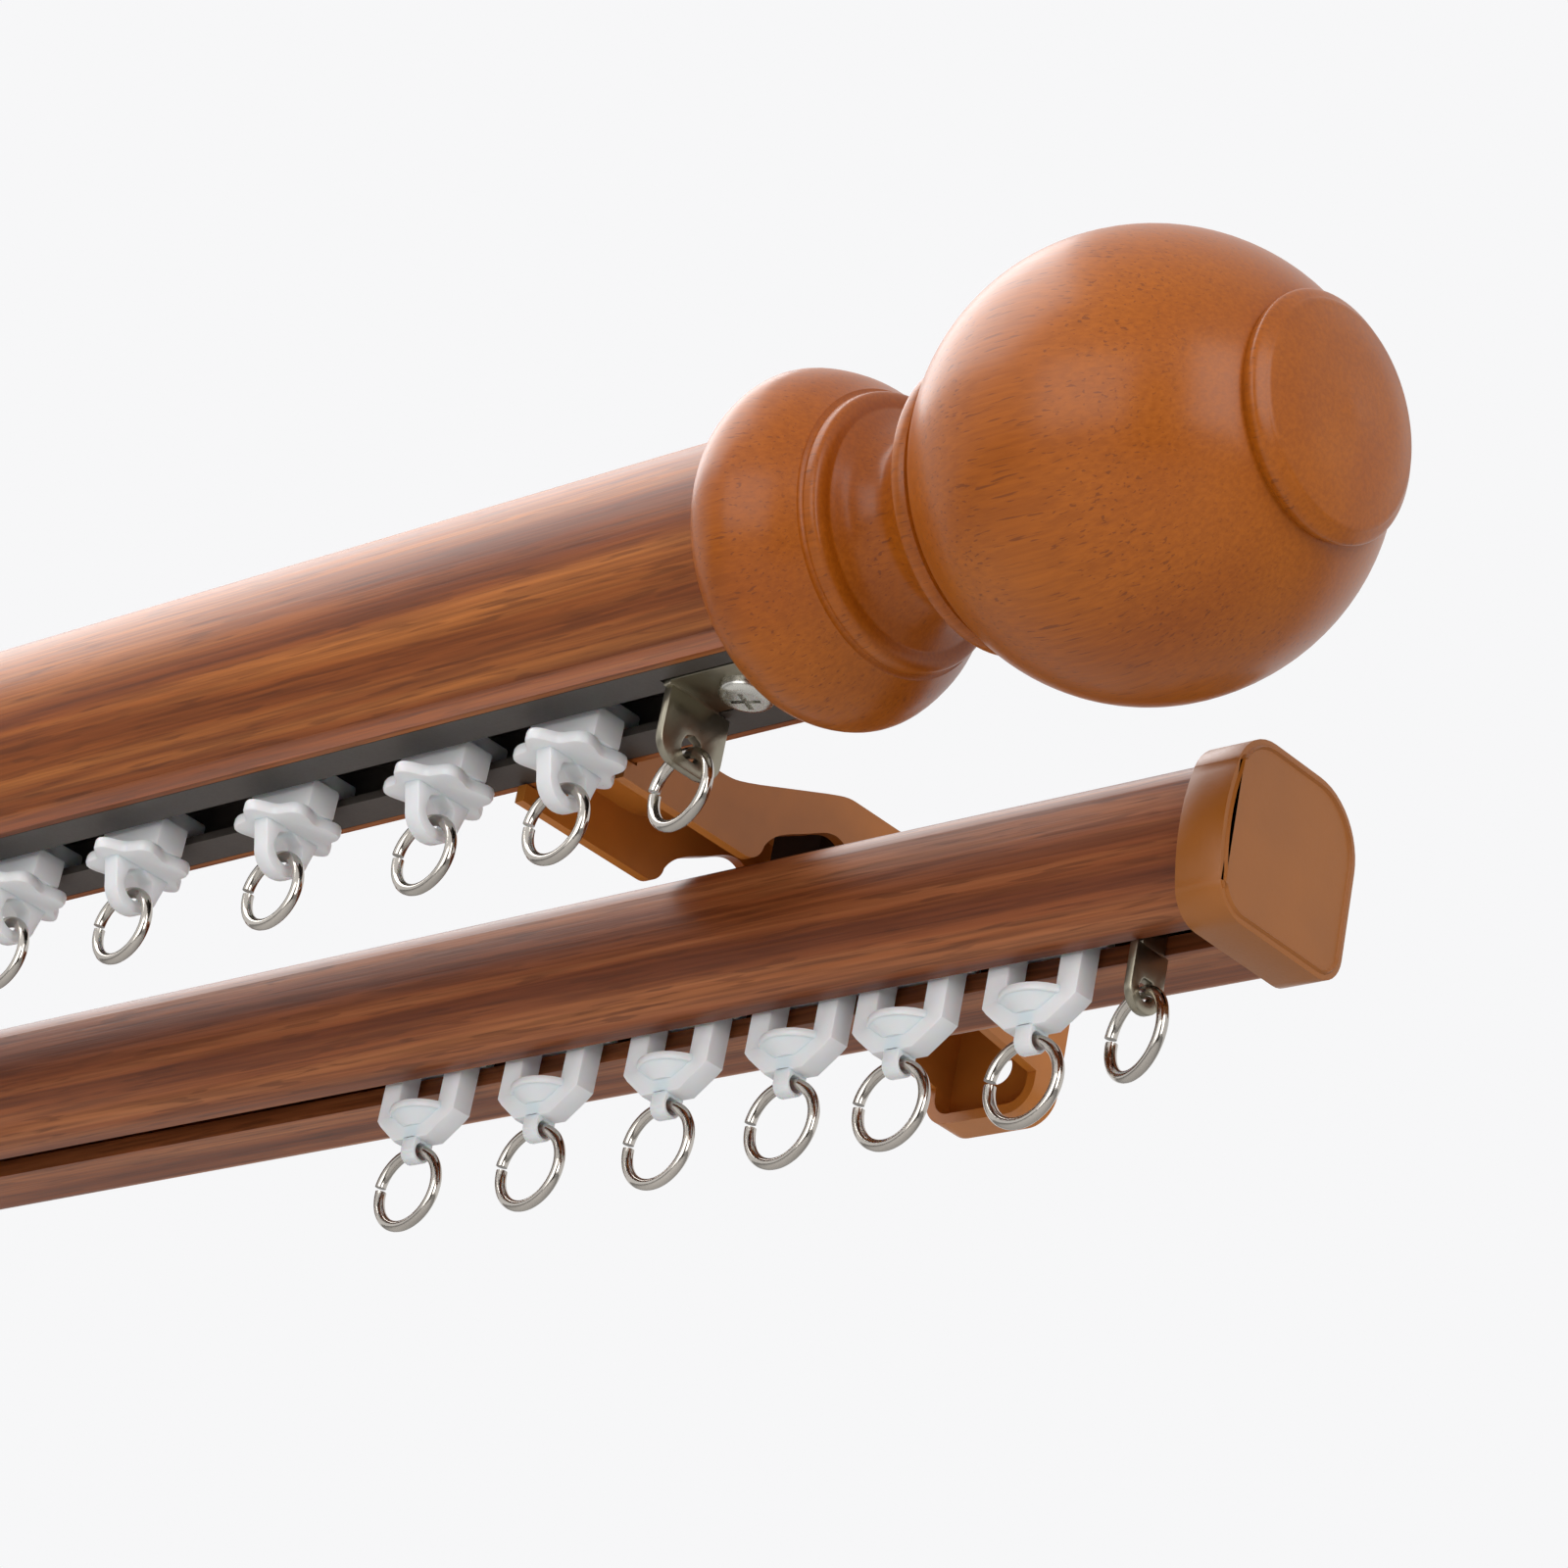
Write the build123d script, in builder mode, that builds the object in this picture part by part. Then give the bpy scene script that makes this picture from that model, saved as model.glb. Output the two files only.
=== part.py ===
# A double curtain rail on two wall brackets, millimetres, Z up, the wall face at Y = 0.
# The origin lies on the wall face, midway between the brackets and their screw holes.
# The front rail is a round tube with turned finials, the rear rail a plain slotted profile.
from build123d import *
from math import asin, cos, degrees, radians, sin
import os

os.makedirs("parts", exist_ok=True)

# Layout
FRONT_LENGTH = 592.0
REAR_OVERHANG = 42.0
BRACKET_INSET = 46.0
FRONT_Y = -100.0
FRONT_Z = 10.0
REAR_SLOT_Y = -56.0
REAR_FACE_Z = -28.8
FIT_GAP = 0.2
RUN_GAP = 0.3

# Front tube and the grey channel pressed into it
TUBE_RADIUS = 17.5
TUBE_WALL = 1.0
SKIRT_HALF = 9.8
TRACK_DROP = TUBE_RADIUS - 0.1
CHANNEL_WALL = 1.2
CHANNEL_HEIGHT = 9.0
CHANNEL_HALF = SKIRT_HALF - TUBE_WALL - 0.1
FRONT_SLOT_HALF = 3.6
LIP_TOP = FRONT_Z - TRACK_DROP + CHANNEL_WALL
TRACK_Z = FRONT_Z - TRACK_DROP

# Front end stops, measured from the end of the tube
NOTCH_LENGTH = 16.8
NOTCH_HALF = 6.2
TAB_INSET = 15.1
TAB_THICK = 1.3
TAB_HALF = 5.5
TAB_DROP = 10.2
TAB_CORNER = 3.4
TAB_EYE_RADIUS = 1.8
TAB_EYE_UP = 3.2
STOP_SCREW_INSET = 7.2
SCREW_RADIUS = 1.9
PAN_RADIUS = 3.7
PAN_HEIGHT = 1.9
NUT_LENGTH = 11.0
NUT_THICK = 2.4

# Finials
FINIAL_INSERT = 3.4
COLLAR_RADIUS = 23.1
COLLAR_LENGTH = 17.0
GROOVE_RADIUS = 18.0
BEAD_LENGTH = 2.6
NECK_RADIUS = 11.4
LIP_RADIUS = 18.6
LIP_CENTRE = 33.2
BALL_RADIUS = 28.6
BALL_TIP = 29.6
BALL_CENTRE = 56.7
BUTTON_RADIUS = 15.2
BUTTON_HEIGHT = 5.2
PLUG_LENGTH = 18.0
BOLT_RADIUS = 3.0
BOLT_LENGTH = 44.0

# Wire rings
WIRE_RADIUS = 0.75
FRONT_RING_RADIUS = 5.0
REAR_RING_RADIUS = 5.6
RING_CUT = 0.5
RING_GAP = 0.5
FRONT_RING_TURN = -5.0
REAR_RING_TURN = -17.0

# Front runners
FRONT_HEAD_LENGTH = 10.0
FRONT_HEAD_HEIGHT = 3.4
NECK_LENGTH = 13.6
FLANGE_DROP = 3.0
FLANGE_THICK = 1.8
FLANGE_RADIUS = 7.6
LOBE_RADIUS = 2.4
LOBE_COUNT = 6
LOBE_START = 30.0
TONGUE_THICK = 3.2
TONGUE_WIDTH = 11.0
EYE_RADIUS = 2.4
EYE_BAR = 2.4

# Rear profile, measured from the middle of its slot and its lower face
REAR_SLOT_HALF = 2.5
REAR_WALL = 1.2
REAR_FLAT = 1.7
REAR_NOSE = 3.5
REAR_SHOULDER = 5.0
REAR_TURN = 75.0
REAR_BACK = 14.0
REAR_BACK_TOP = 7.5
REAR_BACK_FOOT = 2.5
REAR_HEIGHT = 22.0
REAR_LIP = 2.6

# Rear runners
REAR_HEAD_LENGTH = 15.6
REAR_HEAD_HALF = 4.2
REAR_HEAD_HEIGHT = 3.0
LEG_WIDTH = 3.7
LEG_THICK = 3.5
LEG_LENGTH = 5.2
BAR_TOP = 3.8
BAR_BOTTOM = 8.8
BAR_CORNER = 0.8
BAR_TAPER = 4.4
BOSS_LENGTH = 11.2
BOSS_WIDTH = 8.6
BOSS_THICK = 1.2
STEM_THICK = 2.8
STEM_RADIUS = 1.7
STEM_EYE = 1.15

# Rear end stops and caps
REAR_TAB_INSET = 15.4
REAR_TAB_WIDTH = 6.3
REAR_STOP_LENGTH = 8.0
REAR_TAB_DROP = 9.1
REAR_TAB_EYE = 1.5
CAP_WALL = 1.5
CAP_LENGTH = 7.0
CAP_END = 2.2
CAP_CHAMFER = 0.9
CAP_LINE = 0.35

# Brackets
BRACKET_WIDTH = 20.0
SHEET = 1.6
PLATE_THICK = 2.0
PLATE_TOP = 20.5
FOOT_BOTTOM = -20.0
FOOT_DEPTH = 5.2
FOOT_CORNER = 4.5
HOLE_SPACING = 22.0
HOLE_RADIUS = 2.3
ARM_TOP_Z = 6.6
ARM_LOW_Z = -10.2
ARM_STEP = 7.9
LOBE_CORNER = 2.4
ARCH_RADIUS = 5.4
ARCH_RISE = 7.0
CLIP_Y = REAR_SLOT_Y + REAR_BACK / 2 + 2.5
CLIP_LENGTH = 6.0
CLIP_WIDTH = 9.0
SADDLE_SCREW_HEAD = 3.4

REAR_LENGTH = FRONT_LENGTH + 2 * REAR_OVERHANG
FRONT_END = FRONT_LENGTH / 2
REAR_END = REAR_LENGTH / 2
BRACKET_X = FRONT_END - BRACKET_INSET
# radius of the bulging front, so that nose, bulge and shoulder together make the height
REAR_BULGE = (REAR_HEIGHT - (1 - cos(radians(REAR_TURN))) * (REAR_NOSE + REAR_SHOULDER)) / (
    2 * cos(radians(REAR_TURN)))
REAR_FRONT = REAR_SLOT_HALF + REAR_FLAT + REAR_NOSE * sin(radians(REAR_TURN)) + REAR_BULGE * (
    1 - sin(radians(REAR_TURN)))


# Front rail: a round tube whose lower edges run down as a skirt around the channel
def tube_outline(gap):
    Circle(TUBE_RADIUS + gap)
    with Locations((0, -TRACK_DROP)):
        Rectangle(2 * (SKIRT_HALF + gap), TRACK_DROP, align=(Align.CENTER, Align.MIN))


FRONT_PLANE = Plane((-FRONT_END, FRONT_Y, FRONT_Z), x_dir=(0, 1, 0), z_dir=(1, 0, 0))

with BuildPart() as front_rail:
    with BuildSketch(FRONT_PLANE):
        tube_outline(0)
        Circle(TUBE_RADIUS - TUBE_WALL, mode=Mode.SUBTRACT)
        with Locations((0, -TRACK_DROP - TUBE_WALL)):
            Rectangle(2 * (SKIRT_HALF - TUBE_WALL), TRACK_DROP, align=(Align.CENTER, Align.MIN),
                      mode=Mode.SUBTRACT)
    extrude(amount=FRONT_LENGTH)
    # clearance holes for the two screws at the back
    for side in (-1, 1):
        with Locations(Location((side * BRACKET_X, FRONT_Y + TUBE_RADIUS, FRONT_Z), (90, 0, 0))):
            Cylinder(SCREW_RADIUS + 0.05, 6 * TUBE_WALL, mode=Mode.SUBTRACT)
front_rail.part.label = "front_rail"
export_step(front_rail.part, "parts/front_rail.step")


# Front channel: a C section that closes the tube below, its near lip notched at both ends
with BuildPart() as front_channel:
    with BuildSketch(FRONT_PLANE):
        with Locations((0, -TRACK_DROP)):
            Rectangle(2 * CHANNEL_HALF, CHANNEL_HEIGHT, align=(Align.CENTER, Align.MIN))
        with Locations((0, -TRACK_DROP + CHANNEL_WALL)):
            Rectangle(2 * (CHANNEL_HALF - CHANNEL_WALL), CHANNEL_HEIGHT - 2 * CHANNEL_WALL,
                      align=(Align.CENTER, Align.MIN), mode=Mode.SUBTRACT)
        with Locations((0, -TRACK_DROP)):
            Rectangle(2 * FRONT_SLOT_HALF, 3 * CHANNEL_WALL, mode=Mode.SUBTRACT)
    extrude(amount=FRONT_LENGTH)
    for side in (-1, 1):
        with Locations((side * FRONT_END, FRONT_Y, TRACK_Z)):
            Box(2 * NOTCH_LENGTH, NOTCH_HALF, 3 * CHANNEL_WALL, mode=Mode.SUBTRACT,
                align=(Align.CENTER, Align.MAX, Align.CENTER))
front_channel.part.label = "front_channel"
export_step(front_channel.part, "parts/front_channel.step")


# Finials: one turned piece, collar, bead, cove, ball and a low button at the tip
def finial(side):
    face = FRONT_END - FINIAL_INSERT
    turned = Plane((side * face, FRONT_Y, FRONT_Z), x_dir=(side, 0, 0), z_dir=(0, -side, 0))
    ball_start = BALL_CENTRE - (BALL_RADIUS ** 2 - (LIP_RADIUS - 0.7) ** 2) ** 0.5
    start_angle = 180 - degrees(asin((LIP_RADIUS - 0.7) / BALL_RADIUS))
    tip_angle = degrees(asin(BUTTON_RADIUS / BALL_RADIUS))
    tip = BALL_CENTRE + BALL_TIP * cos(radians(tip_angle))
    bead = COLLAR_LENGTH + BEAD_LENGTH
    with BuildPart() as piece:
        with BuildSketch(turned):
            with BuildLine():
                Line((0, 0), (0, COLLAR_RADIUS - 4.6))
                Spline((0, COLLAR_RADIUS - 4.6), (2.4, COLLAR_RADIUS - 1.6), (7.4, COLLAR_RADIUS),
                       (12.8, COLLAR_RADIUS - 1.7), (COLLAR_LENGTH, GROOVE_RADIUS + 0.4))
                Line((COLLAR_LENGTH, GROOVE_RADIUS + 0.4), (COLLAR_LENGTH + 0.5, GROOVE_RADIUS - 0.3))
                Spline((COLLAR_LENGTH + 0.5, GROOVE_RADIUS - 0.3), (bead - 0.7, GROOVE_RADIUS - 0.4),
                       (bead, GROOVE_RADIUS - 2.6), tangents=((1, 0.6), (-0.1, -1)))
                Spline((bead, GROOVE_RADIUS - 2.6), (bead + 5.0, NECK_RADIUS),
                       (LIP_CENTRE - 1.1, LIP_RADIUS - 0.8), tangents=((0.1, -1), (0.4, 1)))
                Line((LIP_CENTRE - 1.1, LIP_RADIUS - 0.8), (LIP_CENTRE - 0.4, LIP_RADIUS))
                Line((LIP_CENTRE - 0.4, LIP_RADIUS), (LIP_CENTRE + 0.5, LIP_RADIUS))
                Line((LIP_CENTRE + 0.5, LIP_RADIUS), (ball_start, LIP_RADIUS - 0.7))
                CenterArc((BALL_CENTRE, 0), BALL_RADIUS, start_angle, 90 - start_angle)
                EllipticalCenterArc((BALL_CENTRE, 0), BALL_TIP, BALL_RADIUS, tip_angle,
                                    arc_size=90 - tip_angle)
                Line((tip, BUTTON_RADIUS), (tip + 0.4, BUTTON_RADIUS - 0.5))
                Spline((tip + 0.4, BUTTON_RADIUS - 0.5), (tip + 1.4, BUTTON_RADIUS),
                       (tip + 3.1, BUTTON_RADIUS - 1.5), tangents=((0.5, 1), (0.5, -1)))
                Spline((tip + 3.1, BUTTON_RADIUS - 1.5), (tip + BUTTON_HEIGHT, 0),
                       tangents=((0.35, -1), (0, -1)))
                Line((tip + BUTTON_HEIGHT, 0), (0, 0))
            make_face()
        revolve(axis=Axis((side * face, FRONT_Y, FRONT_Z), (1, 0, 0)))
        # pocket that takes the end of the tube, and the bore for the bolt
        pocket = Plane((side * face, FRONT_Y, FRONT_Z), x_dir=(0, 1, 0), z_dir=(1, 0, 0))
        with BuildSketch(pocket):
            tube_outline(FIT_GAP)
            with Locations((0, -TRACK_DROP)):
                Rectangle(2 * SKIRT_HALF, 4 * RUN_GAP)
        extrude(amount=side * (FINIAL_INSERT + FIT_GAP), mode=Mode.SUBTRACT)
        with Locations(Location((side * (face + BOLT_LENGTH / 4), FRONT_Y, FRONT_Z), (0, 90, 0))):
            Cylinder(BOLT_RADIUS + 0.05, BOLT_LENGTH, mode=Mode.SUBTRACT)
    return piece


# Plug: fills the tube above the channel and carries the finial's bolt
def finial_plug(side):
    end = side * FRONT_END
    start = Plane((end, FRONT_Y, FRONT_Z), x_dir=(0, 1, 0), z_dir=(1, 0, 0))
    with BuildPart() as piece:
        with BuildSketch(start):
            Circle(TUBE_RADIUS - TUBE_WALL - 0.05)
            with Locations((0, -TRACK_DROP + CHANNEL_HEIGHT + FIT_GAP)):
                Rectangle(2 * TUBE_RADIUS, TUBE_RADIUS, align=(Align.CENTER, Align.MAX), mode=Mode.SUBTRACT)
            Circle(BOLT_RADIUS + 0.05, mode=Mode.SUBTRACT)
        extrude(amount=-side * PLUG_LENGTH)
    return piece


def finial_bolt(side):
    middle = side * (FRONT_END - FINIAL_INSERT + BOLT_LENGTH / 4 - 1.0)
    with BuildPart() as piece:
        with Locations(Location((middle, FRONT_Y, FRONT_Z), (0, 90, 0))):
            Cylinder(BOLT_RADIUS, BOLT_LENGTH - 3.0)
    return piece


# Front end stop: a bent plate, its foot in the notch of the channel, its tab hanging below
def front_stop(side):
    tab_x = side * (FRONT_END - TAB_INSET)
    foot = TAB_INSET - STOP_SCREW_INSET + 3.2
    far = FRONT_SLOT_HALF - RUN_GAP
    near = NOTCH_HALF - RUN_GAP
    tab = Plane((tab_x, FRONT_Y, TRACK_Z), x_dir=(0, 1, 0), z_dir=(1, 0, 0))
    with BuildPart() as piece:
        with BuildSketch(tab):
            with Locations((0, -(RUN_GAP + TAB_DROP) / 2)):
                RectangleRounded(2 * TAB_HALF, TAB_DROP - RUN_GAP, TAB_CORNER)
            with Locations((0, -RUN_GAP)):
                Rectangle(2 * TAB_HALF, TAB_CORNER, align=(Align.CENTER, Align.MAX))
            with Locations(((far - near) / 2, CHANNEL_WALL)):
                Rectangle(far + near, CHANNEL_WALL + 2, align=(Align.CENTER, Align.MAX))
            with Locations((0, -TAB_DROP + TAB_EYE_UP)):
                Circle(TAB_EYE_RADIUS, mode=Mode.SUBTRACT)
        extrude(amount=-side * TAB_THICK)
        with BuildSketch(Plane.XY.offset(TRACK_Z)):
            with Locations((tab_x + side * foot / 2, FRONT_Y + (far - near) / 2)):
                Rectangle(foot, far + near)
            with Locations((side * (FRONT_END - STOP_SCREW_INSET), FRONT_Y)):
                Circle(SCREW_RADIUS + 0.05, mode=Mode.SUBTRACT)
        extrude(amount=CHANNEL_WALL)
    return piece


FRONT_STOP_EYE_FLOOR = TRACK_Z - TAB_DROP + TAB_EYE_UP - TAB_EYE_RADIUS
FRONT_TAB_X = FRONT_END - TAB_INSET - TAB_THICK / 2

# Screws of the front end stops, pan heads below, and the square nuts inside the channel
with BuildPart() as stop_screws:
    for side in (-1, 1):
        place = (side * (FRONT_END - STOP_SCREW_INSET), FRONT_Y, TRACK_Z)
        with Locations(place):
            Cylinder(PAN_RADIUS, PAN_HEIGHT, align=(Align.CENTER, Align.CENTER, Align.MAX))
            Cylinder(SCREW_RADIUS, CHANNEL_WALL + NUT_THICK + 1.5,
                     align=(Align.CENTER, Align.CENTER, Align.MIN))
    rims = stop_screws.edges().filter_by(GeomType.CIRCLE).group_by(Axis.Z)[0]
    fillet(rims, 0.6 * PAN_HEIGHT)
    for side in (-1, 1):
        place = (side * (FRONT_END - STOP_SCREW_INSET), FRONT_Y, TRACK_Z - PAN_HEIGHT)
        for turn in (20, 110):
            with Locations(Location(place, (0, 0, turn))):
                Box(0.55 * PAN_RADIUS * 2, 0.75, 1.2, mode=Mode.SUBTRACT)
stop_screws.part.label = "stop_screws"
export_step(stop_screws.part, "parts/stop_screws.step")

with BuildPart() as stop_nuts:
    for side in (-1, 1):
        with BuildSketch(Plane.XY.offset(LIP_TOP)):
            with Locations((side * (FRONT_END - STOP_SCREW_INSET), FRONT_Y)):
                Rectangle(NUT_LENGTH, 2 * (CHANNEL_HALF - CHANNEL_WALL - RUN_GAP))
                Circle(SCREW_RADIUS + 0.05, mode=Mode.SUBTRACT)
        extrude(amount=NUT_THICK)
stop_nuts.part.label = "stop_nuts"
export_step(stop_nuts.part, "parts/stop_nuts.step")


# Wire ring that hangs from the top of its wire, turned about the vertical, cut open on the left
def wire_ring(x, y, eye_floor, mean, turn):
    top = eye_floor + RING_GAP + WIRE_RADIUS
    with BuildPart() as piece:
        with Locations(Location((x, y, top - mean)) * Rot(Z=turn) * Rot(X=90)):
            Torus(mean, WIRE_RADIUS)
            with Locations(Location((-mean, 0.12 * mean, 0))):
                Box(4 * WIRE_RADIUS, RING_CUT, 4 * WIRE_RADIUS, mode=Mode.SUBTRACT)
    return piece


# Front runner: head in the channel, neck in the slot, scalloped flange, tongue with an eye
def front_runner(x):
    neck_half = FRONT_SLOT_HALF - 2 * RUN_GAP
    head_half = CHANNEL_HALF - CHANNEL_WALL - 2 * RUN_GAP
    flange_top = TRACK_Z - FLANGE_DROP
    eye_z = flange_top - FLANGE_THICK - EYE_RADIUS
    tongue_radius = EYE_RADIUS + EYE_BAR - 0.3
    with BuildPart() as piece:
        with Locations((x, FRONT_Y, LIP_TOP + RUN_GAP)):
            Box(FRONT_HEAD_LENGTH, 2 * head_half, FRONT_HEAD_HEIGHT,
                align=(Align.CENTER, Align.CENTER, Align.MIN))
        fillet(piece.edges().filter_by(Axis.Z), 1.5)
        with Locations((x, FRONT_Y, LIP_TOP + RUN_GAP)):
            Box(NECK_LENGTH, 2 * neck_half, LIP_TOP + RUN_GAP - flange_top,
                align=(Align.CENTER, Align.CENTER, Align.MAX))
        with BuildSketch(Plane((x, FRONT_Y, flange_top))):
            Circle(FLANGE_RADIUS - LOBE_RADIUS + 1.2)
            with PolarLocations(FLANGE_RADIUS - LOBE_RADIUS, LOBE_COUNT, start_angle=LOBE_START):
                Circle(LOBE_RADIUS)
        extrude(amount=-FLANGE_THICK)
        with BuildSketch(Plane((x - TONGUE_THICK / 2, FRONT_Y, 0), x_dir=(0, 1, 0), z_dir=(1, 0, 0))):
            with Locations((0, eye_z)):
                Circle(tongue_radius)
            with Locations((0, flange_top - FLANGE_THICK)):
                Rectangle(TONGUE_WIDTH, FLANGE_THICK)
            make_hull()
            with Locations((0, eye_z)):
                Circle(EYE_RADIUS, mode=Mode.SUBTRACT)
        extrude(amount=TONGUE_THICK)
    return piece


FRONT_EYE_FLOOR = TRACK_Z - FLANGE_DROP - FLANGE_THICK - 2 * EYE_RADIUS


# Rear rail: a D-shaped profile with its slot below, lips turned up inside
with BuildLine() as rear_line:
    Line((REAR_BACK - REAR_BACK_FOOT, 0), (-REAR_SLOT_HALF - REAR_FLAT, 0))
    nose = JernArc((-REAR_SLOT_HALF - REAR_FLAT, 0), (-1, 0), REAR_NOSE, -REAR_TURN)
    bulge = JernArc(nose @ 1, nose % 1, REAR_BULGE, 2 * REAR_TURN - 180)
    shoulder = JernArc(bulge @ 1, bulge % 1, REAR_SHOULDER, -REAR_TURN)
    Line(shoulder @ 1, (REAR_BACK - REAR_BACK_TOP, REAR_HEIGHT))
    RadiusArc((REAR_BACK - REAR_BACK_TOP, REAR_HEIGHT), (REAR_BACK, REAR_HEIGHT - REAR_BACK_TOP),
              REAR_BACK_TOP)
    Line((REAR_BACK, REAR_HEIGHT - REAR_BACK_TOP), (REAR_BACK, REAR_BACK_FOOT))
    RadiusArc((REAR_BACK, REAR_BACK_FOOT), (REAR_BACK - REAR_BACK_FOOT, 0), REAR_BACK_FOOT)


def rear_outline():
    make_face(rear_line.edges())


def rear_plane(x):
    return Plane((x, REAR_SLOT_Y, REAR_FACE_Z), x_dir=(0, 1, 0), z_dir=(1, 0, 0))


with BuildPart() as rear_rail:
    with BuildSketch(rear_plane(-REAR_END)):
        rear_outline()
    extrude(amount=REAR_LENGTH)
    with BuildSketch(rear_plane(-REAR_END)):
        rear_outline()
        offset(amount=-REAR_WALL, mode=Mode.REPLACE)
    extrude(amount=REAR_LENGTH, mode=Mode.SUBTRACT)
    with BuildSketch(rear_plane(-REAR_END)):
        Rectangle(2 * (REAR_SLOT_HALF + REAR_WALL), REAR_LIP, align=(Align.CENTER, Align.MIN))
    extrude(amount=REAR_LENGTH)
    with BuildSketch(rear_plane(-REAR_END)):
        Rectangle(2 * REAR_SLOT_HALF, 3 * REAR_LIP)
    extrude(amount=REAR_LENGTH, mode=Mode.SUBTRACT)
    for side in (-1, 1):
        with Locations((side * BRACKET_X, CLIP_Y, REAR_FACE_Z + REAR_HEIGHT)):
            Cylinder(SCREW_RADIUS + 0.05, 2 * REAR_BACK_TOP, mode=Mode.SUBTRACT)
rear_rail.part.label = "rear_rail"
export_step(rear_rail.part, "parts/rear_rail.step")


# End cap of the rear rail: a moulded cup with a soft rim and a fine line on its face
def rear_cap(side):
    mouth = side * (REAR_END - CAP_LENGTH + CAP_END)
    with BuildPart() as piece:
        with BuildSketch(rear_plane(mouth)):
            rear_outline()
            offset(amount=CAP_WALL + FIT_GAP, mode=Mode.REPLACE)
        extrude(amount=side * CAP_LENGTH)
        end_edges = piece.edges().group_by(Axis.X)[-1 if side > 0 else 0]
        chamfer(end_edges, CAP_CHAMFER)
        with BuildSketch(rear_plane(mouth)):
            rear_outline()
            offset(amount=FIT_GAP, mode=Mode.REPLACE)
        extrude(amount=side * (CAP_LENGTH - CAP_END + FIT_GAP), mode=Mode.SUBTRACT)
        with BuildSketch(rear_plane(mouth + side * CAP_LENGTH)):
            rear_outline()
        extrude(amount=-side * CAP_LINE, mode=Mode.SUBTRACT)
        with BuildSketch(rear_plane(mouth + side * CAP_LENGTH)):
            rear_outline()
            offset(amount=-1.1 * CAP_LINE, mode=Mode.REPLACE)
        extrude(amount=-side * 2 * CAP_LINE)
    return piece


# Rear end stop: a plate inside the rail with a neck through the slot and a tab for its ring
def rear_stop(side):
    tab_x = side * (REAR_END - REAR_TAB_INSET)
    tab = Plane((tab_x - TAB_THICK / 2, REAR_SLOT_Y, REAR_FACE_Z), x_dir=(0, 1, 0), z_dir=(1, 0, 0))
    half = REAR_TAB_WIDTH / 2
    with BuildPart() as piece:
        with BuildSketch(tab):
            with Locations((0, -RUN_GAP)):
                Rectangle(2 * half, REAR_TAB_DROP - half, align=(Align.CENTER, Align.MAX))
            with Locations((0, -REAR_TAB_DROP + half)):
                Circle(half)
            with Locations((0, REAR_LIP + RUN_GAP)):
                Rectangle(2 * (REAR_SLOT_HALF - RUN_GAP), REAR_LIP + 1, align=(Align.CENTER, Align.MAX))
            with Locations((0, -REAR_TAB_DROP + half)):
                Circle(REAR_TAB_EYE, mode=Mode.SUBTRACT)
        extrude(amount=TAB_THICK)
        with Locations((tab_x, REAR_SLOT_Y, REAR_FACE_Z + REAR_LIP + RUN_GAP)):
            Box(REAR_STOP_LENGTH, 2 * REAR_HEAD_HALF, TAB_THICK, align=(Align.CENTER, Align.CENTER, Align.MIN))
    return piece


REAR_STOP_EYE_FLOOR = REAR_FACE_Z - REAR_TAB_DROP + REAR_TAB_WIDTH / 2 - REAR_TAB_EYE


# Rear runner: head on the turned lips, two legs, a tapered bar with a round boss, a stem with an eye
def rear_runner(x):
    front = Plane((x, REAR_SLOT_Y, REAR_FACE_Z), x_dir=(1, 0, 0), z_dir=(0, -1, 0))
    half = REAR_HEAD_LENGTH / 2
    eye_v = -BAR_BOTTOM - STEM_EYE - 0.3
    with BuildPart() as piece:
        with Locations((x, REAR_SLOT_Y, REAR_FACE_Z + REAR_LIP + RUN_GAP)):
            Box(REAR_HEAD_LENGTH, 2 * REAR_HEAD_HALF, REAR_HEAD_HEIGHT,
                align=(Align.CENTER, Align.CENTER, Align.MIN))
        with BuildSketch(front):
            with BuildLine():
                Polyline((-half, REAR_LIP + RUN_GAP), (-half, -LEG_LENGTH),
                         (BAR_CORNER - half, -LEG_LENGTH - BAR_CORNER), (BAR_TAPER - half, -BAR_BOTTOM),
                         (half - BAR_TAPER, -BAR_BOTTOM), (half - BAR_CORNER, -LEG_LENGTH - BAR_CORNER),
                         (half, -LEG_LENGTH), (half, REAR_LIP + RUN_GAP), close=True)
            make_face()
            with Locations((0, -BAR_TOP)):
                Rectangle(REAR_HEAD_LENGTH - 2 * LEG_WIDTH, BAR_TOP + REAR_LIP + RUN_GAP,
                          align=(Align.CENTER, Align.MIN), mode=Mode.SUBTRACT)
        extrude(amount=LEG_THICK / 2, both=True)
        with BuildSketch(Plane((x, REAR_SLOT_Y, REAR_FACE_Z - BAR_TOP))):
            Ellipse(BOSS_LENGTH / 2, BOSS_WIDTH / 2)
        extrude(amount=-BOSS_THICK)
        with Locations((x, REAR_SLOT_Y, REAR_FACE_Z - BAR_TOP - BOSS_THICK)):
            Cone(STEM_RADIUS + 0.1, BOSS_WIDTH / 2 - 0.4, BAR_BOTTOM - BAR_TOP - BOSS_THICK,
                 align=(Align.CENTER, Align.CENTER, Align.MAX))
        with BuildSketch(Plane((x - STEM_THICK / 2, REAR_SLOT_Y, REAR_FACE_Z), x_dir=(0, 1, 0), z_dir=(1, 0, 0))):
            with Locations((0, eye_v)):
                Circle(STEM_RADIUS)
            with Locations((0, 1 - BAR_BOTTOM)):
                Rectangle(2 * STEM_RADIUS, 1 - eye_v - BAR_BOTTOM, align=(Align.CENTER, Align.MAX))
            with Locations((0, eye_v)):
                Circle(STEM_EYE, mode=Mode.SUBTRACT)
        extrude(amount=STEM_THICK)
    return piece


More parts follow.
